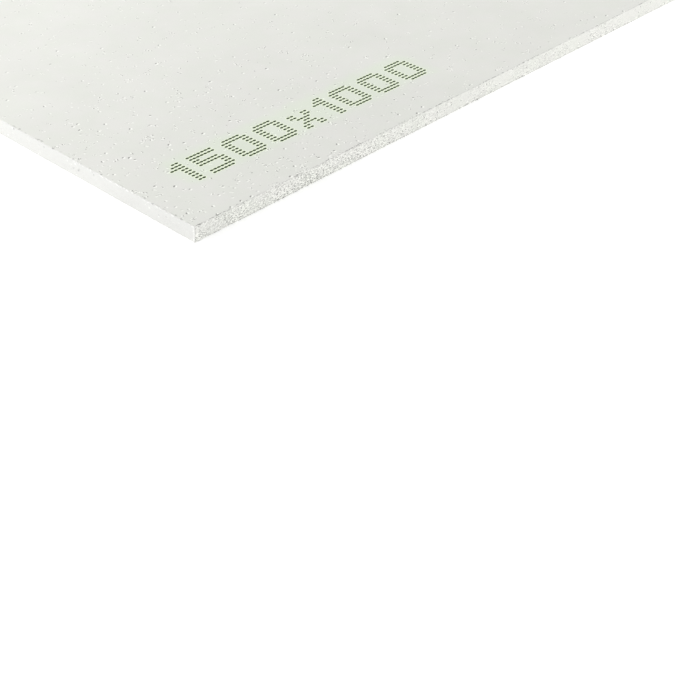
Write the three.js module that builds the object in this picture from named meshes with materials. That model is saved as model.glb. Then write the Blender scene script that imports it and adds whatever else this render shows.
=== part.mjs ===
// Gypsum fibreboard sheet for dry lining: one slab, pressed from gypsum and paper fibre and sawn to size,
// the same all the way through, with square edges and no paper liner.
// Millimetres, +Z up. The sheet lies face up with its origin under its middle, on the back face;
// +X runs along its length and +Y across its width.
import * as THREE from "three";

// Sheet: the small format that one person carries
const SHEET_LENGTH = 1500;
const SHEET_WIDTH = 1000;
const SHEET_THICKNESS = 12.5;

// Sawn edges: the saw leaves them square, and stacking and carrying ease every arris a little
const ARRIS_RADIUS = 0.5; // rounding between an edge and the face above or below it
const FACE_CORNER_RADIUS = 0.6; // rounding in plan of each corner of the flat faces

// Facets
const ARRIS_STEPS = 3;
const CORNER_STEPS = 4;

// Plan outline of a flat face: a rectangle centred on the origin, with each corner an arc.
function faceOutline(length, width, cornerRadius) {
  const cornerX = length / 2 - cornerRadius;
  const cornerY = width / 2 - cornerRadius;
  const outline = new THREE.Shape();
  outline.absarc(cornerX, cornerY, cornerRadius, 0, Math.PI / 2);
  outline.absarc(-cornerX, cornerY, cornerRadius, Math.PI / 2, Math.PI);
  outline.absarc(-cornerX, -cornerY, cornerRadius, Math.PI, (3 * Math.PI) / 2);
  outline.absarc(cornerX, -cornerY, cornerRadius, (3 * Math.PI) / 2, 2 * Math.PI);
  return outline;
}

// The slab is the face's outline raised through the thickness. The bevel turns a quarter round from
// each flat face out to the sawn edge, so the arris runs unbroken round all four sides and corners.
function slabGeometry() {
  const outline = faceOutline(
    SHEET_LENGTH - 2 * ARRIS_RADIUS,
    SHEET_WIDTH - 2 * ARRIS_RADIUS,
    FACE_CORNER_RADIUS,
  );
  const slab = new THREE.ExtrudeGeometry(outline, {
    depth: SHEET_THICKNESS - 2 * ARRIS_RADIUS,
    steps: 1,
    curveSegments: CORNER_STEPS,
    bevelEnabled: true,
    bevelThickness: ARRIS_RADIUS,
    bevelSize: ARRIS_RADIUS,
    bevelSegments: ARRIS_STEPS,
  });
  return slab.translate(0, 0, ARRIS_RADIUS);
}

// Pale, faintly warm grey gypsum, dry and matt
const gypsum = new THREE.MeshStandardMaterial({
  color: 0xe3e4dd,
  roughness: 0.92,
  metalness: 0,
});

const sheet = new THREE.Mesh(slabGeometry(), gypsum);
sheet.name = "fibreboard_sheet";

const part = new THREE.Group();
part.add(sheet);

export default part;
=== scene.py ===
"""Looks of a gypsum fibreboard sheet: its worn slab, printed numerals and finishes, in a studio.

Everything is in metres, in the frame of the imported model. The sheet lies face up on z = 0 with its
middle at the origin, its length along X and its width along Y. The corner nearest the camera is at
low X and low Y. The finishes are worked out in millimetres.
"""
import re
from math import copysign, exp, hypot, pi, radians

import bmesh
import bpy
from mathutils import Matrix, Vector, noise


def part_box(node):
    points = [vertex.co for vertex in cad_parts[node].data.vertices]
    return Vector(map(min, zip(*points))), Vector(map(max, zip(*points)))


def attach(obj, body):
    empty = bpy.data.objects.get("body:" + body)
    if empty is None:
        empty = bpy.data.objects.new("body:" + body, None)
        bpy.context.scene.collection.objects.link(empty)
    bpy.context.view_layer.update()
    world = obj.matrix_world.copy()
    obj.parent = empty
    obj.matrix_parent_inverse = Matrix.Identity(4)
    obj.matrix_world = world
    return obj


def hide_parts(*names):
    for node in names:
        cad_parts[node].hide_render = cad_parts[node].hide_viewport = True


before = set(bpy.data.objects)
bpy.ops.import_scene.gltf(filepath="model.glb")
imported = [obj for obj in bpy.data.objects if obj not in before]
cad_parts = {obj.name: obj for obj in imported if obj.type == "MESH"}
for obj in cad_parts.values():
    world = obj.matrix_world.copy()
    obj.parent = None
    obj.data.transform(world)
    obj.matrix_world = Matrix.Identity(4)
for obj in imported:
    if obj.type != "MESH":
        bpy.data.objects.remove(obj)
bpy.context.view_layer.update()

MM = 0.001
NEAR_CORNER, FAR_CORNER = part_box("fibreboard_sheet")
LENGTH, WIDTH, THICKNESS = FAR_CORNER - NEAR_CORNER
CLOSE = 0.01 * MM  # points nearer than this are taken to touch

# Mesh of the sheet
COLUMNS_PER_METRE = 840  # columns of faces along the edges
EDGE_ROWS = 14  # rows of faces up an edge
ROW_CROWDING = 0.35  # how far the rows crowd towards the two arrises
FACE_BANDS = (0.6 * MM, 1.2 * MM, 2.7 * MM)  # widths of the bands between rim and flat field

# Layout of the sheet's bake map: the lowest and highest V of each side
MAP_MARGIN = 0.004
FACE_ON_MAP, BACK_ON_MAP = (0.402, 0.996), (0.202, 0.394)
STRIP_HEIGHT, STRIP_PITCH = 0.041, 0.049
STRIP_FEET = [MAP_MARGIN + STRIP_PITCH * side for side in range(4)]
STRIPS_ON_MAP = [(foot, foot + STRIP_HEIGHT) for foot in STRIP_FEET]

# Wear of the arrises and the corners
WORKED_REACH = 5 * MM  # how far in from an edge the sheet is worn
ARRIS_RADIUS = 0.35 * MM
ARRIS_UNEVEN = 0.5  # share by which the rounding wanders
CHIP_DEPTH = {"long": 0.65 * MM, "end": 0.5 * MM}
CHIP_FROM = {"long": 0.50, "end": 0.42}  # level of the noise above which the arris is chipped
CHIP_RISE = 0.22  # how far above that level a chip has its full depth
WORN_REACH = 90 * MM  # how far from a corner the handling shows
CRUMBLED_REACH = 16 * MM  # how far from a corner the arris of a long edge has crumbled
CRUMBLED_RADIUS = 0.6 * MM
CORNER_SPARED = (1 * MM, 5 * MM)  # from the corner: none of that crumbling, and all of it

# Grain of the edges: the long ones come rough off the saw, the end ones are trimmed nearly smooth
GRAIN_DEPTH = {"long": 0.18 * MM, "end": 0.03 * MM}
PIT_DEPTH = {"long": 0.34 * MM, "end": 0.20 * MM}
GRAIN_FLATTENED = 1.6  # how much wider than high the grains and pits are
CALM_DEPTH = 0.3  # share of the grain's depth that is left in the calm patches
GRAIN_FRACTAL = (0.7, 2.0, 3)  # the noise's exponent, lacunarity and octaves
PIT_LEVELS = (0.28, 0.62)  # levels of the noise at which a pit begins and has its full depth
PATCH_LEVELS = (-0.15, 0.35)  # and a rough patch likewise

# Size in millimetres of the lumps of noise that each kind of wear follows
PATCH_LUMPS, UNEVEN_LUMPS, CHIP_LUMPS, CRUMB_LUMPS = 31, 2.6, 3.6, 2.2
GRAIN_LUMPS, PIT_LUMPS = 2.4, 2.9

# Printed numerals: dots of ink in a raster, laid row by row as the sheet ran under the print head
NUMERALS = "1500x1000"
MARK_FROM_END = 39 * MM  # from the end edge to the first column
MARK_FROM_LONG_EDGE = 43.5 * MM  # from the long edge to the lowest row
DOT_PITCH = 3.45 * MM
DOT_LENGTH, DOT_HEIGHT = 3.3 * MM, 2.04 * MM
DOT_BLUNTNESS = 0.03  # keeps a dot's tips, and the waists between two, from closing to nothing
WASHED_RIM = 0.70 * MM  # width of the paler rim that the wet ink left round its dots
INK_BLEED, BLEED_LUMPS = 0.25, 1.1 * MM  # share by which a dot's height wanders, and how soon
DASH_COLUMNS_PER_DOT, DASH_ROWS = 6, 6
MARK_TILT = radians(-0.35)
MARK_SLANT = -0.035  # sideways shift of a row for each unit of its height
GAP_COLUMNS = 2
INK_PROUD, INK_DEEP = 0.03 * MM, 0.05 * MM
INK_TAPER = 0.8  # share of its height above the face that the ink has lost at the rim
DOT_MAP = "across_dot"  # how far a point is along and across its dot, 1 where the ink ends

GLYPHS = {
    "0": (
        ".#####.",
        "#######",
        "##...##",
        "##...##",
        "##...##",
        "##...##",
        "##...##",
        "#######",
        ".#####.",
    ),
    "1": (
        "..##",
        ".###",
        "####",
        "..##",
        "..##",
        "..##",
        "..##",
        "..##",
        "..##",
    ),
    "5": (
        "#######",
        "#######",
        "##.....",
        "######.",
        "#######",
        ".....##",
        ".....##",
        "#######",
        "######.",
    ),
    "x": (
        "......",
        "......",
        "##..##",
        "##..##",
        ".####.",
        "..##..",
        ".####.",
        "##..##",
        "##..##",
    ),
}

# Camera and light
CAMERA_FROM_NEAR_CORNER = Vector((-673.07, -743.33, 630.98)) * MM
CAMERA_HEADING = radians(48.135)  # from +Y towards +X
CAMERA_DOWN = radians(35.532)
CAMERA_ROLL = radians(2.080)
CAMERA_LENS, CAMERA_SENSOR = 91.48, 36  # mm
CAMERA_CLIP = 0.01
WHITE, GREY = (1.0, 1.0, 1.0, 1.0), (0.5, 0.5, 0.5, 1.0)
SKY_STRENGTH = 0.69
SOFTBOXES = {  # each one's place and aim from the near corner, its size and its power
    "softbox_left": ((-0.74, 0.62, 0.70), (-0.50, 1.00, 0.0), 1.03, 8.45),
    "softbox_right": ((1.15, -0.65, 0.70), (1.50, 1.00, 0.0), 1.99, 8.15),
    "softbox_above": ((1.28, 0.72, 0.70), (1.44, 1.00, 0.0), 1.94, 3.20),
}
FLOOR_SIZE = 40.0
FLOOR_BELOW = 0.05 * MM  # how far the floor keeps clear of the sheet


def smoothstep(low, high, value):
    """0 below low, 1 above high, and an even rise between them."""
    share = min(max((value - low) / (high - low), 0.0), 1.0)
    return share * share * (3 - 2 * share)


def add_object(name, bm, material):
    """Makes bm a mesh object of that name, smooth shaded, and puts it in the scene."""
    mesh = bpy.data.meshes.new(name)
    bm.to_mesh(mesh)
    bm.free()
    mesh.polygons.foreach_set("use_smooth", [True] * len(mesh.polygons))
    mesh.materials.append(material)
    made = bpy.data.objects.new(name, mesh)
    bpy.context.scene.collection.objects.link(made)
    return made


# ---------------------------------------------------------------- studio


def place_camera():
    """The camera above the near corner, looking down along the sheet."""
    camera = bpy.data.objects.new("camera", bpy.data.cameras.new("camera"))
    camera.data.lens = CAMERA_LENS
    camera.data.sensor_width = CAMERA_SENSOR
    camera.data.clip_start = CAMERA_CLIP
    turn = (
        Matrix.Rotation(-CAMERA_HEADING, 4, "Z")
        @ Matrix.Rotation(pi / 2 - CAMERA_DOWN, 4, "X")
        @ Matrix.Rotation(CAMERA_ROLL, 4, "Z")
    )
    camera.matrix_world = Matrix.Translation(NEAR_CORNER + CAMERA_FROM_NEAR_CORNER) @ turn
    bpy.context.scene.collection.objects.link(camera)
    bpy.context.scene.camera = camera


def hang_softbox(name, place, aim, size, power):
    """A square area light at place, given from the near corner, that faces aim."""
    light = bpy.data.lights.new(name, "AREA")
    light.size = size
    light.energy = power
    lamp = bpy.data.objects.new(name, light)
    place, aim = NEAR_CORNER + Vector(place), NEAR_CORNER + Vector(aim)
    lamp.location = place
    lamp.rotation_euler = (aim - place).to_track_quat("-Z", "Y").to_euler()
    lamp.visible_camera = False
    bpy.context.scene.collection.objects.link(lamp)


def light_studio():
    """An even pale sky, and softboxes: the brightest on the left, one on the right, one above."""
    world = bpy.data.worlds.new("studio")
    world.use_nodes = True
    sky = world.node_tree.nodes["Background"]
    sky.inputs["Color"].default_value = WHITE
    sky.inputs["Strength"].default_value = SKY_STRENGTH
    bpy.context.scene.world = world
    bpy.context.scene.view_settings.view_transform = "Standard"
    for name, (place, aim, size, power) in SOFTBOXES.items():
        hang_softbox(name, place, aim, size, power)


def lay_floor(material):
    """The studio floor, which the sheet lies on."""
    bm = bmesh.new()
    bmesh.ops.create_grid(bm, x_segments=1, y_segments=1, size=FLOOR_SIZE / 2)
    bmesh.ops.translate(bm, verts=bm.verts, vec=(0, 0, -FLOOR_BELOW))
    add_object("floor", bm, material)


# ---------------------------------------------------------------- sheet


def raise_edges(bm):
    """Four upright grids, one to each side, facing out and welded at the corners."""
    for turn in range(4):
        run, reach = (LENGTH, WIDTH) if turn % 2 == 0 else (WIDTH, LENGTH)
        place = (
            Matrix.Rotation(turn * pi / 2, 4, "Z")
            @ Matrix.Translation((0, -reach / 2, THICKNESS / 2))
            @ Matrix.Rotation(pi / 2, 4, "X")
            @ Matrix.Diagonal((run, THICKNESS, 1, 1))
        )
        columns = round(run * COLUMNS_PER_METRE)
        bmesh.ops.create_grid(bm, x_segments=columns, y_segments=EDGE_ROWS, size=0.5, matrix=place)
    bmesh.ops.remove_doubles(bm, verts=bm.verts, dist=CLOSE)
    for vertex in bm.verts:
        level = 2 * vertex.co.z / THICKNESS - 1
        crowded = (1 + ROW_CROWDING) * level - ROW_CROWDING * level**3
        vertex.co.z = THICKNESS / 2 * (1 + crowded)


def extrude_rim(bm, rim):
    """Draws a rim of edges out into a band, and gives the vertices and edges of its new rim."""
    made = bmesh.ops.extrude_edge_only(bm, edges=rim)["geom"]
    corners = [part for part in made if isinstance(part, bmesh.types.BMVert)]
    edges = [part for part in made if isinstance(part, bmesh.types.BMEdge)]
    new = set(corners)
    return corners, [edge for edge in edges if new.issuperset(edge.verts)]


def close_face(bm, height):
    """Runs narrow bands in from the rim at that height, then fills the field inside them flat."""
    rim = [edge for edge in bm.edges if all(abs(v.co.z - height) < CLOSE for v in edge.verts)]
    length, width = LENGTH, WIDTH
    for band in FACE_BANDS:
        corners, rim = extrude_rim(bm, rim)
        inner_length, inner_width = length - 2 * band, width - 2 * band
        bmesh.ops.scale(bm, verts=corners, vec=(inner_length / length, inner_width / width, 1))
        length, width = inner_length, inner_width
    bmesh.ops.contextual_create(bm, geom=rim)


def lay_out_map(bm):
    """Sets the sheet out flat for the bake: the face, the back squeezed below it, the edges."""
    bake_map = bm.loops.layers.uv.new("OFBake")
    for loop in (loop for face in bm.faces for loop in face.loops):
        across, up = loop.vert.co.x / LENGTH + 0.5, loop.vert.co.y / WIDTH + 0.5
        height = loop.vert.co.z / THICKNESS
        normal = loop.face.normal
        if abs(normal.z) > 0.5:
            bottom, top = FACE_ON_MAP if normal.z > 0 else BACK_ON_MAP
        elif abs(normal.y) > 0.5:
            bottom, top = STRIPS_ON_MAP[0 if normal.y < 0 else 1]
            up = height
        else:
            bottom, top = STRIPS_ON_MAP[2 if normal.x < 0 else 3]
            across, up = up, height
        along_map = MAP_MARGIN + (1 - 2 * MAP_MARGIN) * across
        loop[bake_map].uv = (along_map, bottom + (top - bottom) * up)


def lumps(place, size, shift=(0, 0, 0)):
    """Noise from -1 to 1, in lumps about size across. The shift keeps it apart from the others."""
    return noise.noise(place / size + Vector(shift))


def rounding_at(place, side, to_end, patch, worn):
    """The arris's radius: uneven, chipped here and there, and crumbled where a long edge ends."""
    uneven = 1 + ARRIS_UNEVEN * lumps(place, UNEVEN_LUMPS) * (0.5 + patch)
    spall = lumps(place, CHIP_LUMPS, (17, 0, 0)) + 0.08 * worn
    chip = smoothstep(CHIP_FROM[side], CHIP_FROM[side] + CHIP_RISE, spall)
    radius = ARRIS_RADIUS * uneven + CHIP_DEPTH[side] * chip
    if side == "long":
        crumbled = exp(-((to_end / CRUMBLED_REACH) ** 2)) * smoothstep(*CORNER_SPARED, to_end)
        radius += CRUMBLED_RADIUS * crumbled * (0.6 + lumps(place, CRUMB_LUMPS, (0, 0, 9)))
    return radius


def saw_depth_at(place, side, patch):
    """How far the sawn edge lies back there: its grain, and pits where the patch is rough."""
    flat = Vector((place.x, place.y, GRAIN_FLATTENED * place.z))
    grain = 0.5 + 0.5 * noise.fractal(flat / GRAIN_LUMPS, *GRAIN_FRACTAL)
    pit = smoothstep(*PIT_LEVELS, lumps(flat, PIT_LUMPS, (0, 41, 0)))
    rough = CALM_DEPTH + (1 - CALM_DEPTH) * patch
    return rough * GRAIN_DEPTH[side] * grain + patch * PIT_DEPTH[side] * pit


def wear_and_saw(bm):
    """Eases the arrises and corners unevenly, chips them, and roughens the sawn edges."""
    half = Vector((LENGTH / 2, WIDTH / 2, THICKNESS / 2))
    middle = Vector((0, 0, THICKNESS / 2))
    for vertex in bm.verts:
        place = vertex.co / MM
        to_end, to_long = half.x - abs(vertex.co.x), half.y - abs(vertex.co.y)
        if min(to_end, to_long) > WORKED_REACH:
            continue
        side = "long" if to_long < to_end else "end"
        worn = exp(-hypot(to_end, to_long) / WORN_REACH)
        patch = smoothstep(*PATCH_LEVELS, lumps(place, PATCH_LUMPS) + 0.5 * worn)

        radius = rounding_at(place, side, to_end, patch, worn)
        inner_half = half - Vector((radius, radius, radius))
        offset = vertex.co - middle
        core = Vector(max(-h, min(h, o)) for h, o in zip(inner_half, offset))
        vertex.co = middle + core + (offset - core).normalized() * radius

        if min(to_end, to_long) > CLOSE:
            continue
        depth = saw_depth_at(place, side, patch)
        if to_end < CLOSE:
            vertex.co.x -= copysign(1, vertex.co.x) * depth
        if to_long < CLOSE:
            vertex.co.y -= copysign(1, vertex.co.y) * depth


def model_sheet(material):
    """The sheet: one closed slab."""
    bm = bmesh.new()
    raise_edges(bm)
    close_face(bm, THICKNESS)
    close_face(bm, 0.0)
    bmesh.ops.recalc_face_normals(bm, faces=bm.faces)
    lay_out_map(bm)
    wear_and_saw(bm)
    sheet = add_object("pressed_sheet", bm, material)
    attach(sheet, "root")
    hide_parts("fibreboard_sheet")


# ---------------------------------------------------------------- print


def round_off(share):
    """Half the height of a dot, as a share of its greatest, at that share of its half length."""
    return max(1 - share**2, DOT_BLUNTNESS) ** 0.5


def add_dash(bm, dot_map, left, level, dots):
    """One dash of ink, the dots of a run grown together: a thin closed lens laid in the face."""
    length = (dots - 1) * DOT_PITCH + DOT_LENGTH
    shape = Matrix.Diagonal((length + 2 * WASHED_RIM, 1, 1, 1))
    columns, rows = dots * DASH_COLUMNS_PER_DOT, DASH_ROWS
    grid = bmesh.ops.create_grid(bm, x_segments=columns, y_segments=rows, size=0.5, matrix=shape)
    across_dot = {}
    for vertex in grid["verts"]:
        along, rim = vertex.co.x, 2 * vertex.co.y
        nearest = min(max(round(along / DOT_PITCH + (dots - 1) / 2), 0), dots - 1)
        from_dot = (along - (nearest - (dots - 1) / 2) * DOT_PITCH) / (DOT_LENGTH / 2)
        beyond_tip = max(abs(from_dot) - 1, 0) * DOT_LENGTH / 2 / WASHED_RIM
        washed = WASHED_RIM * round_off(beyond_tip)
        inked = DOT_HEIGHT / 2 * round_off(from_dot)
        across_dot[vertex] = (abs(from_dot), rim * (inked + washed) / (DOT_HEIGHT / 2))
        bleed = 1 + INK_BLEED * lumps(Vector((left + along, level, rim * DOT_HEIGHT)), BLEED_LUMPS)
        x = left + length / 2 - DOT_LENGTH / 2 + along
        z = INK_PROUD * (1 - INK_TAPER * abs(rim))
        vertex.co = (x, level + rim * (inked * bleed + washed), z)
    faces = dict.fromkeys(face for vertex in grid["verts"] for face in vertex.link_faces)
    for loop in (loop for face in faces for loop in face.loops):
        loop[dot_map].uv = across_dot[loop.vert]
    rim_edges = dict.fromkeys(edge for face in faces for edge in face.edges if edge.is_boundary)
    for edge in rim_edges:
        edge.smooth = False
    under, under_rim = extrude_rim(bm, list(rim_edges))
    for vertex in under:
        vertex.co.z = -INK_DEEP
    bmesh.ops.contextual_create(bm, geom=under_rim)


def model_print(material):
    """The numerals, read from the long edge: rows of dashes in each glyph's raster."""
    bm = bmesh.new()
    dot_map = bm.loops.layers.uv.new(DOT_MAP)
    column = 0
    for numeral in NUMERALS:
        rows = GLYPHS[numeral]
        for number, row in enumerate(rows):
            level = (len(rows) - 1 - number) * DOT_PITCH
            for run in re.finditer("#+", row):
                left = (column + run.start()) * DOT_PITCH + MARK_SLANT * level
                add_dash(bm, dot_map, left, level, len(run.group()))
        column += len(rows[0]) + GAP_COLUMNS
    bmesh.ops.recalc_face_normals(bm, faces=bm.faces)
    start = NEAR_CORNER + Vector((MARK_FROM_END, MARK_FROM_LONG_EDGE, THICKNESS))
    place = Matrix.Translation(start) @ Matrix.Rotation(MARK_TILT, 4, "Z")
    bmesh.ops.transform(bm, verts=bm.verts, matrix=place)
    numerals = add_object("printed_numerals", bm, material)
    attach(numerals, "root")


# ---------------------------------------------------------------- paint

SPECK_CORE = 0.35  # share of a speck's radius within which it is whole
LOT_FADE = 0.05  # how far past its share a lot has to lie for its speck to be whole


class Number:
    """A number in a material. An expression on it adds the Math nodes that work it out."""

    def __init__(self, paint, socket):
        self.paint, self.socket = paint, socket

    def work_out(self, operation, first, second=0.0):
        """The number that a Math node makes of one or two others."""
        return self.paint.number("ShaderNodeMath", {"operation": operation}, {0: first, 1: second})

    def __add__(self, other):
        return self.work_out("ADD", self, other)

    def __sub__(self, other):
        return self.work_out("SUBTRACT", self, other)

    def __rsub__(self, other):
        return self.work_out("SUBTRACT", other, self)

    def __mul__(self, other):
        return self.work_out("MULTIPLY", self, other)

    def __truediv__(self, other):
        return self.work_out("DIVIDE", self, other)

    def size(self):
        return self.work_out("ABSOLUTE", self)

    def root(self):
        return self.work_out("SQRT", self)

    def sine(self):
        return self.work_out("SINE", self)

    def least(self, other):
        return self.work_out("MINIMUM", self, other)

    def most(self, other):
        return self.work_out("MAXIMUM", self, other)

    __radd__, __rmul__ = __add__, __mul__


class Paint:
    """A material whose finish is worked out by nodes."""

    def __init__(self, name):
        self.material = bpy.data.materials.new(name)
        self.material.use_nodes = True
        self.tree = self.material.node_tree
        self.shader = self.tree.nodes["Principled BSDF"]

    def feed(self, socket, value):
        """Links value to the socket, or sets the socket to it."""
        value = getattr(value, "socket", value)
        if isinstance(value, bpy.types.NodeSocket):
            self.tree.links.new(value, socket)
        else:
            socket.default_value = value

    def node(self, kind, settings, sockets):
        """A node of that kind, with its settings, then the values or links of its sockets."""
        made = self.tree.nodes.new(kind)
        for name, value in settings.items():
            setattr(made, name, value)
        for name, value in sockets.items():
            self.feed(made.inputs[name], value)
        return made

    def number(self, kind, settings, sockets, output=0):
        """The number that a node of that kind gives at that output."""
        return Number(self, self.node(kind, settings, sockets).outputs[output])

    def vector(self, operation, sockets):
        """The vector that a Vector Math node gives."""
        return self.node("ShaderNodeVectorMath", {"operation": operation}, sockets).outputs[0]

    def times(self, vector, factor):
        """The vector or colour times a number."""
        return self.vector("SCALE", {0: vector, "Scale": factor})

    def place(self):
        """The point on the object, in millimetres."""
        metres = self.node("ShaderNodeTexCoord", {}, {}).outputs["Object"]
        return self.times(metres, 1 / MM)

    def axes(self, vector):
        """The X, Y and Z numbers of a vector."""
        parts = self.node("ShaderNodeSeparateXYZ", {}, {"Vector": vector}).outputs
        return [Number(self, parts[k]) for k in range(3)]

    def stretched(self, vector, factors, shift=(0, 0, 0)):
        """The vector times a factor for each axis, then moved by shift."""
        sockets = {"Vector": vector, "Scale": factors, "Location": shift}
        return self.node("ShaderNodeMapping", {}, sockets).outputs["Vector"]

    def scaled(self, vector, size, shift=(0, 0, 0)):
        """The vector moved by shift, then divided by size."""
        return self.stretched(vector, (1 / size,) * 3, tuple(s / size for s in shift))

    def bent(self, vector, size, reach):
        """The vector moved by up to the reach, in bends about size across."""
        sockets = {"Vector": self.scaled(vector, size), "Scale": 1.0, "Detail": 1.0}
        bends = self.node("ShaderNodeTexNoise", {}, sockets).outputs["Color"]
        return self.vector("ADD", {0: vector, 1: self.times(bends, reach)})

    def rise(self, value, low, high):
        """An even rise from 0, where value is low, to 1, where it is high."""
        sockets = {"Value": value, "From Min": low, "From Max": high}
        return self.number("ShaderNodeMapRange", {"interpolation_type": "SMOOTHSTEP"}, sockets)

    def cloud(self, vector, size, detail=1.0, roughness=0.5, shift=(0, 0, 0)):
        """Smooth noise round 0.5, with features about size across."""
        place = self.scaled(vector, size, shift)
        sockets = {"Vector": place, "Scale": 1.0, "Detail": detail, "Roughness": roughness}
        return self.number("ShaderNodeTexNoise", {}, sockets)

    def patches(self, vector, size, low, high, detail=1.0, shift=(0, 0, 0)):
        """Patches about size across: 0 where the noise in them is low, 1 where it is high."""
        return self.rise(self.cloud(vector, size, detail, shift=shift), low, high)

    def cells(self, vector):
        """The outputs of a Voronoi node, whose cells are about one unit across."""
        sockets = {"Vector": vector, "Scale": 1.0}
        return self.node("ShaderNodeTexVoronoi", {"feature": "F1"}, sockets).outputs

    def specks(self, vector, share, cell, radius, contrast, lift=0.0, shift=(0, 0, 0), plane="XZ"):
        """Scattered specks in that share of the cells, each lit on one side and dark on the other.

        Gives a speck's shape, from 1 in its middle to 0 at the radius and beyond, its shade, which
        is lift in the middle and goes up and down by the contrast to its sides, and a lot drawn for
        how strong it is. Each speck's light comes from a way of its own, in that plane.
        """
        point = self.scaled(vector, cell, shift)
        cells = self.cells(point)
        lot, strength, turn = self.axes(cells["Color"])
        distance = Number(self, cells["Distance"])
        shape = self.rise(distance, radius / cell, SPECK_CORE * radius / cell)
        shape = shape * self.rise(lot, 1 - share, 1 + LOT_FADE - share)
        turn = turn * (2 * pi)
        way = dict(zip(plane, ((turn + pi / 2).sine(), turn.sine())))
        way = self.node("ShaderNodeCombineXYZ", {}, way).outputs[0]
        offset = self.vector("SUBTRACT", {0: point, 1: cells["Position"]})
        settings = {"operation": "DOT_PRODUCT"}
        side = self.number("ShaderNodeVectorMath", settings, {0: offset, 1: way}, output=1)
        return shape, side * (cell / radius) * contrast + lift, strength

    def mix(self, share, first, second):
        """A colour between first and second."""
        settings = {"data_type": "RGBA"}
        sockets = {"Factor": share, 6: first, 7: second}
        return self.node("ShaderNodeMix", settings, sockets).outputs[2]

    def relief(self, height, distance):
        """A bumped normal, where height runs from 0 to 1 over that distance in metres."""
        bump = self.node("ShaderNodeBump", {}, {"Height": height, "Distance": distance})
        self.feed(self.shader.inputs["Normal"], bump.outputs["Normal"])


# ---------------------------------------------------------------- gypsum

GYPSUM = (0.771, 0.772, 0.735, 1.0)
GYPSUM_GREENISH = (0.762, 0.772, 0.724, 1.0)
GYPSUM_TRIMMED = (0.757, 0.759, 0.735, 1.0)
OVERSPRAY = (0.738, 0.817, 0.670, 1.0)
GYPSUM_ROUGHNESS, GYPSUM_SPECULAR = 0.88, 0.2
GYPSUM_RELIEF = 0.4 * MM

# Tones: how much a mark lightens the gypsum, or below 0 darkens it, where the mark is strongest
DARKEST, LIGHTEST = -0.60, 0.27
DARKEST_NICK, DARKEST_CHIP, LIGHTEST_CHIP = -0.28, -0.14, 0.10
# the third is painted shade where an edge's surface lies deep in its grain; the fourth is painted
# shade on the long sawn edges far from their ends
MOTTLE_TONE, TOOTH_TONE, HOLLOW_SHADE, FAR_EDGE_SHADE = 0.09, 0.08, -0.07, -0.018
# painted highlights: a bright line along a trimmed end's top arris, and up its corners
LIP_HIGHLIGHT, UPRIGHT_HIGHLIGHT = 0.21, 0.34
# painted shadows: beside the arrises on the face, and along the long edges' lower arris
END_SHADOW, LONG_SHADOW, GROUPED_SHADOW, UNDER_SHADOW = -0.16, -0.13, -0.28, -0.15
MIST_STRENGTH = 0.55

# Patches: how large they are, and the levels of the noise at which they begin and are full
ROUGH_PATCHES = {"size": 15, "low": 0.40, "high": 0.54}  # of rougher grain and more pinholes
LINE_BREAKS = {"size": 2.6, "low": 0.44, "high": 0.56, "detail": 2.0}
# groups in which the painted shadow beside a long edge is darker, and in which the trimmed ends are
# nicked
SHADOW_AND_NICK_GROUPS = {"size": 11, "low": 0.51, "high": 0.57, "shift": (7, 23, 5)}
# stretches and beads in which the painted highlights and the painted end shadows along the arrises
# show
PAINTED_LINE_STRETCHES = {"size": 13, "low": 0.32, "high": 0.46}
PAINTED_LINE_BEADS = {"size": 1, "low": 0.48, "high": 0.58}
CRUMBLED_PATCHES = {"size": 9, "low": 0.47, "high": 0.60, "detail": 2.0}
GRAINY_STRETCHES = {"size": 38, "low": 0.42, "high": 0.54}
GREENISH_PATCHES = {"size": 18, "low": 0.35, "high": 0.65}
CLUSTER_SIZE, CLUSTER_LEVELS = 7, (0.615, 0.70)

# Texture all over, and how the patterns are bent and stretched
MOTTLE = {"size": 45, "detail": 4.0, "roughness": 0.6}
TOOTH = {"size": 0.9, "detail": 3.0, "roughness": 0.7}
BEND_SIZE, BEND_REACH = 1.2, 0.9
BEAD_STRETCH = (0.5, 0.3, 0.5)
GRANULE_SIZE, GRANULE_STRETCH = 0.75, (0.65, 1, 1.45)
CHIP_STRETCH = (0.5, 1, 1)

# Specks: the cell that each has to itself, its radius, and how light and dark its sides are, painted
# light and painted shade
PINHOLES = {"cell": 4.6, "radius": 1.6, "contrast": 5.0, "lift": 0.3, "plane": "XY"}
POCKS = {
    "cell": 2.0,
    "radius": 1.15,
    "contrast": 3.2,
    "lift": 0.15,
    "shift": (3.1, 0, 0),
    "plane": "XY",
}
PITS = {"cell": 1.6, "radius": 1.1, "contrast": 3.6, "lift": -0.10, "shift": (7.7, 3.1, 0.4)}
NICKS = {"cell": 3.2, "radius": 1.6, "contrast": 2.1, "lift": -0.25, "shift": (1.3, 2.2, 6.1)}
CHIPS = {"cell": 3.2, "radius": 1.9, "contrast": 1.8, "shift": (5.3, 0.2, 1.9)}
POCK_SHARE, NICK_SHARE, CHIP_SHARE = 0.75, 0.6, 0.8  # share of the cells that hold one

# Reaches along the sheet, from its end edge: where a thing begins, then where it is full
FLECKED_END = (90, 20)
FLECKED_STRIP_END = (20, 75)
FRAYED_FROM, FRAYED_TO = (30, 80), (330, 120)
CALM_END = (100, 40)
COARSE_END = (260, 60)
IN_STRETCHES_BEYOND = (170, 300)
# painted shade on the long sawn edges, darker far from the end
SHADED_BEYOND = (250, 450)

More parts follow.
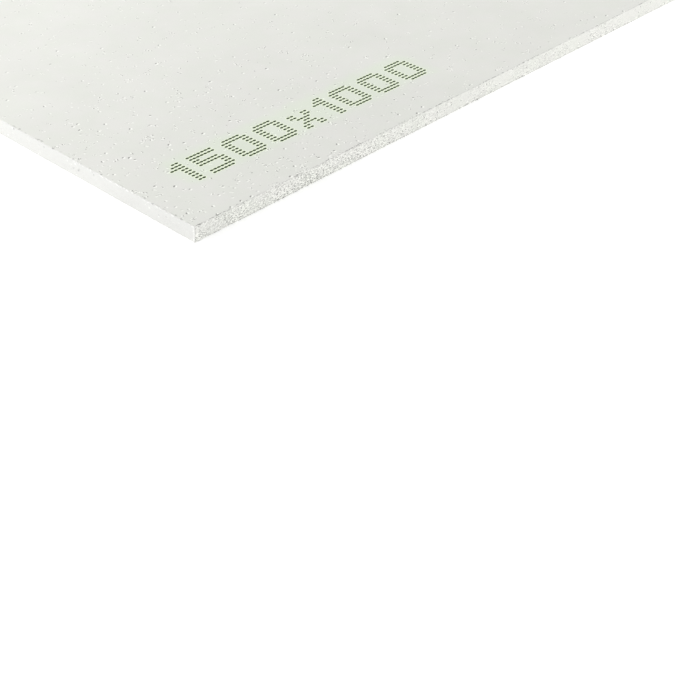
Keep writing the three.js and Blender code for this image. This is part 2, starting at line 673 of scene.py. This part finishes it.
# Other reaches, in the same way: from a corner, in from an edge, or up or down from an arris
HANDLED_CORNER, HANDLED_NARROWING = (480, 90), 2.5  # it reaches less far across the sheet
MITRE = (-0.5, 0.5)  # where a long edge's finish takes over from an end edge's
PAST_ARRIS = (0.02, 0.2)
FLECKED_STRIP = (12, 5)
SAWN_INWARD, CRUMBLED_MORE = 0.5, 4.5  # how far in the sawn grain goes, and more where crumbled
SAWN_FADE = (1.0, 0.4)  # shares of that reach
HOLLOW_INWARD = (0.35, 0.9)
LIP_ACROSS, LIP_DOWN, LIP_FROM_CORNER = (0.5, 0.15), (1.5, 0.8), (170, 80)
UPRIGHT_WIDTH = (2.4, 1.5)
SHADOW_MIDDLE, SHADOW_WIDTH = 0.7, (0.65, 0.2)
UNDERSIDE_MIDDLE, UNDERSIDE_WIDTH = 0.6, (0.7, 0.2)
NICKED_ARRIS = (2.6, 1.2)
CHIPPED_FOOT = (3.2, 1.8)
CALMER_UP = (5, 9)
MIST_LUMPS, MIST_WANDER, MIST_EDGE = 12, 12, (10, -4)


class Spot:
    """Where a point lies on the sheet, and what kind of place that is, from 0 to 1."""

    def __init__(self, paint):
        self.place = paint.place()
        x, y, z = paint.axes(self.place)
        self.up, self.down = z, THICKNESS / MM - z
        self.to_end = LENGTH / 2 / MM - x.size()
        self.to_long = WIDTH / 2 / MM - y.size()
        self.inward = self.to_end.least(self.to_long)
        self.on_long = paint.rise(self.to_end - self.to_long, *MITRE)
        self.on_edge = paint.rise(self.up, *PAST_ARRIS) * paint.rise(self.down, *PAST_ARRIS)
        across = HANDLED_NARROWING * self.to_long * self.to_long
        self.handled = paint.rise((self.to_end * self.to_end + across).root(), *HANDLED_CORNER)
        self.patches = paint.patches(self.place, **ROUGH_PATCHES)
        self.broken = paint.patches(self.place, **LINE_BREAKS)
        self.bent = paint.bent(self.place, BEND_SIZE, BEND_REACH)


def flecks(paint, spot):
    """Pinholes in the pressed faces, scattered and in a few clusters, each with painted light on one
    side and painted shade on the other.
    """
    beside_long = paint.rise(spot.to_long, *FLECKED_STRIP)
    beside_long = beside_long * paint.rise(spot.to_end, *FLECKED_STRIP_END)
    # a few anywhere, and more in each of these places
    share = 0.065 + 0.06 * spot.patches + 0.22 * spot.handled * spot.handled
    share = share + 0.09 * paint.rise(spot.to_end, *FLECKED_END) + 0.40 * beside_long
    pinhole, shade, strength = paint.specks(spot.bent, share, **PINHOLES)
    pinhole = pinhole * (0.08 + 0.92 * strength * strength * strength) * shade
    crowding = paint.cloud(spot.place, CLUSTER_SIZE) + 0.03 * spot.handled
    clusters = paint.rise(crowding, *CLUSTER_LEVELS)
    pock, shade, strength = paint.specks(spot.bent, POCK_SHARE, **POCKS)
    pock = clusters * pock * (0.2 + 0.8 * strength) * shade
    return (pinhole + pock).most(DARKEST).least(LIGHTEST) * (0.70 + 0.30 * spot.handled)


def bared_grains(paint, spot, share):
    """The grains that the saw laid bare, and pits in that share of the places, each with painted
    light on one side and painted shade on the other.
    """
    layered = paint.stretched(spot.bent, GRANULE_STRETCH)
    cells = paint.cells(paint.scaled(layered, GRANULE_SIZE))
    lot, distance = paint.axes(cells["Color"])[0], Number(paint, cells["Distance"])
    granules = 1.2 * (lot - 0.5) + 0.8 * (0.46 - distance)
    pit, shade, strength = paint.specks(layered, share, **PITS)
    pit = pit * (0.2 + 0.8 * strength) * shade
    return (0.8 * granules).least(LIGHTEST), pit.most(DARKEST).least(LIGHTEST) + 0.10 * share


def saw_marks(paint, spot, sawn):
    """The grain of the sawn edges: coarser near their ends, only in stretches far from them.

    It is calmer outside the rough patches and high up.
    """
    calm = 0.06 + (0.12 + 0.4 * paint.rise(spot.to_end, *CALM_END)) * (1 - spot.patches)
    coarse = 0.60 + 0.40 * paint.rise(spot.to_end, *COARSE_END)
    stretches = paint.patches(spot.place, **GRAINY_STRETCHES)
    kept = 1 - (1 - 0.6 * stretches) * paint.rise(spot.to_end, *IN_STRETCHES_BEYOND)
    rough = sawn * (0.07 + 0.93 * spot.on_long) * (1 - calm)
    rough = rough * (1.08 - 0.29 * paint.rise(spot.up, *CALMER_UP))
    coarser = kept * coarse
    grains, pits = bared_grains(paint, spot, 0.08 + 0.77 * coarser * coarser)
    return rough * ((0.25 + 0.75 * kept) * coarse * grains + pits).most(DARKEST)


def painted_arris_highlight(paint, spot, beaded, beads):
    """Painted highlight on a trimmed end: a bright line along its top arris and up its corners."""
    lip = paint.rise(spot.down, *LIP_DOWN) * paint.rise(spot.inward, *LIP_ACROSS)
    lip = lip * paint.rise(spot.to_long, *LIP_FROM_CORNER)
    upright = paint.rise(spot.to_long, *UPRIGHT_WIDTH) * paint.rise(spot.to_end, *LIP_ACROSS)
    upright = upright * spot.on_edge
    return (LIP_HIGHLIGHT * lip * beaded).most(UPRIGHT_HIGHLIGHT * upright * (1 - 0.7 * beads))


def nicks(paint, spot):
    """Nicks along the arrises of the trimmed ends, and fainter ones between the arrises, each
    painted darker, with painted light on one side and painted shade on the other.
    """
    to_arris = (spot.inward + spot.down).least(spot.inward + spot.up)
    near_arris = paint.rise(to_arris, *NICKED_ARRIS)
    nick, shade, strength = paint.specks(spot.bent, NICK_SHARE, **NICKS)
    return near_arris.most(0.5 * spot.on_edge) * nick * strength * shade


def chips(paint, spot):
    """Shallow chips along the foot of the sawn edges, each with painted light on one side and
    painted shade on the other.
    """
    laid = paint.stretched(spot.bent, CHIP_STRETCH)
    chip, shade, strength = paint.specks(laid, CHIP_SHARE, **CHIPS)
    foot = spot.on_long * spot.on_edge * paint.rise(spot.up, *CHIPPED_FOOT)
    return (foot * chip * strength * shade).most(DARKEST_CHIP).least(LIGHTEST_CHIP)


def arris_lines(paint, spot):
    """The painted highlights and painted shadows along the arrises, which come and go, with the
    nicks and chips.
    """
    on_end = 1 - spot.on_long
    beads = paint.patches(paint.stretched(spot.place, BEAD_STRETCH), **PAINTED_LINE_BEADS)
    beaded = paint.patches(spot.place, **PAINTED_LINE_STRETCHES) * beads
    groups = paint.patches(spot.place, **SHADOW_AND_NICK_GROUPS)
    # painted shadow beside a long edge's top arris, broken, and darker in groups
    long_shadow = spot.on_long * spot.broken * (LONG_SHADOW + GROUPED_SHADOW * groups)
    beside = paint.rise((spot.inward - SHADOW_MIDDLE).size(), *SHADOW_WIDTH) * (1 - spot.on_edge)
    shadow = beside * (END_SHADOW * on_end * beaded + long_shadow)
    # painted shadow along a long edge's lower arris
    low = paint.rise((spot.up - UNDERSIDE_MIDDLE).size(), *UNDERSIDE_WIDTH)
    low = low * spot.on_edge * spot.on_long
    underside = UNDER_SHADOW * low * spot.broken * (0.6 + 0.4 * spot.handled)
    lines = on_end * painted_arris_highlight(paint, spot, beaded, beads) + shadow + underside
    nicked = (on_end * groups * nicks(paint, spot)).most(DARKEST_NICK)
    return lines + nicked + chips(paint, spot)


def overspray(paint, place):
    """Mist of ink, 1 among the numerals and fading to nothing a few millimetres round them."""
    x, y, z = paint.axes(place)
    columns = sum(len(GLYPHS[numeral][0]) + GAP_COLUMNS for numeral in NUMERALS) - GAP_COLUMNS
    rows = len(GLYPHS["0"])
    reach = Vector((columns, rows)) * DOT_PITCH / 2
    middle = NEAR_CORNER.xy + Vector((MARK_FROM_END, MARK_FROM_LONG_EDGE)) + reach
    uneven = MIST_WANDER * (paint.cloud(place, MIST_LUMPS, detail=2.0) - 0.5)
    beside = (x - middle.x / MM).size() - reach.x / MM + uneven
    above = (y - middle.y / MM).size() - reach.y / MM + uneven
    mist = paint.rise(beside, *MIST_EDGE) * paint.rise(above, *MIST_EDGE)
    return mist * paint.rise(z, 0.0, THICKNESS / MM)


def gypsum_finish():
    """Dry pressed gypsum and paper fibre: faintly mottled, pinholed, and crumbly where sawn."""
    paint = Paint("pressed_gypsum")
    spot = Spot(paint)
    crumbled = paint.patches(spot.place, **CRUMBLED_PATCHES) * spot.on_long
    frayed = paint.rise(spot.to_end, *FRAYED_TO) * paint.rise(spot.to_end, *FRAYED_FROM)
    reach = SAWN_INWARD + CRUMBLED_MORE * crumbled * (0.3 + 0.7 * frayed)
    sawn = spot.on_edge.most(0.8 * paint.rise(spot.inward / reach, *SAWN_FADE))
    grain = saw_marks(paint, spot, sawn)
    fleck = flecks(paint, spot)
    mottle = paint.cloud(spot.place, **MOTTLE) - 0.5
    tooth = paint.cloud(spot.place, **TOOTH) - 0.5
    # painted shade where an edge's surface lies deep in its sawn grain
    hollow_shade = paint.rise(spot.inward, *HOLLOW_INWARD) * spot.on_edge
    # painted shade: the long sawn edges a little darker far from their ends
    far_edge_shade = sawn * spot.on_long * paint.rise(spot.to_end, *SHADED_BEYOND)
    tone = 1 + MOTTLE_TONE * mottle + TOOTH_TONE * tooth + (1 - sawn) * fleck + grain
    tone = tone + arris_lines(paint, spot) + HOLLOW_SHADE * hollow_shade + FAR_EDGE_SHADE * far_edge_shade

    colour = paint.mix(paint.patches(spot.place, **GREENISH_PATCHES), GYPSUM, GYPSUM_GREENISH)
    colour = paint.mix(sawn * (1 - spot.on_long), colour, GYPSUM_TRIMMED)
    mist = MIST_STRENGTH * overspray(paint, spot.place) * (1 - sawn)
    colour = paint.mix(mist, colour, OVERSPRAY)
    paint.feed(paint.shader.inputs["Base Color"], paint.times(colour, tone.least(1 + LIGHTEST)))
    paint.feed(paint.shader.inputs["Roughness"], GYPSUM_ROUGHNESS + 0.10 * tooth)
    paint.shader.inputs["Specular IOR Level"].default_value = GYPSUM_SPECULAR
    height = 0.5 + 0.06 * tooth + 0.4 * (1 - sawn) * fleck + 0.3 * grain
    paint.relief(height, GYPSUM_RELIEF)
    return paint.material


# ---------------------------------------------------------------- ink and floor

INK_CORE = (0.010, 0.019, 0.003, 1.0)
INK_THIN = (0.122, 0.188, 0.058, 1.0)
GYPSUM_WASHED = (0.905, 0.985, 0.775, 1.0)
GYPSUM_MISTED = (0.750, 0.797, 0.697, 1.0)
INK_ROUGHNESS, INK_SPECULAR = 0.7, 0.3
INK_RELIEF = 0.03 * MM
SOAK = {"size": 0.9, "detail": 2.0}

# Where each change begins and is complete, counting 0 in a dot's middle and 1 where its ink ends
INK_THINS, INK_ENDS, RIM_FADES = (0.56, 1.0), (0.92, 1.08), (1.45, 1.75)

FLOOR_WHITE, FLOOR_ROUGHNESS, FLOOR_GLOW = (0.90, 0.90, 0.90, 1.0), 0.9, 0.50
GLOW_GROWS = (30, 300)  # out from the sheet


def ink_finish():
    """Green marking ink, sunk in: dense in a dot's middle, thin round it, a pale rim outside."""
    paint = Paint("marking_ink")
    across_dot = paint.node("ShaderNodeUVMap", {"uv_map": DOT_MAP}, {}).outputs["UV"]
    along, across, _ = paint.axes(across_dot)
    from_middle = (along * along + across * across).root()
    soak = paint.cloud(paint.place(), **SOAK) - 0.5
    ink = paint.mix(paint.rise(from_middle + 0.4 * soak, *INK_THINS), INK_CORE, INK_THIN)
    washed = paint.rise(from_middle + 0.2 * soak, *INK_ENDS)
    rim = paint.mix(paint.rise(from_middle, *RIM_FADES), GYPSUM_WASHED, GYPSUM_MISTED)
    paint.feed(paint.shader.inputs["Base Color"], paint.mix(washed, ink, rim))
    paint.shader.inputs["Roughness"].default_value = INK_ROUGHNESS
    paint.shader.inputs["Specular IOR Level"].default_value = INK_SPECULAR
    paint.relief(soak, INK_RELIEF)
    return paint.material


def floor_finish():
    """White floor, lit a little from below, more so away from the sheet, so that it stays even."""
    paint = Paint("studio_floor")
    x, y, _ = paint.axes(paint.place())
    away = (x.size() - LENGTH / 2 / MM).most(y.size() - WIDTH / 2 / MM)
    paint.shader.inputs["Base Color"].default_value = FLOOR_WHITE
    paint.shader.inputs["Roughness"].default_value = FLOOR_ROUGHNESS
    glow = paint.mix(paint.rise(away, *GLOW_GROWS), GREY, WHITE)
    paint.feed(paint.shader.inputs["Emission Color"], glow)
    paint.shader.inputs["Emission Strength"].default_value = FLOOR_GLOW
    return paint.material


place_camera()
light_studio()
lay_floor(floor_finish())
model_sheet(gypsum_finish())
model_print(ink_finish())
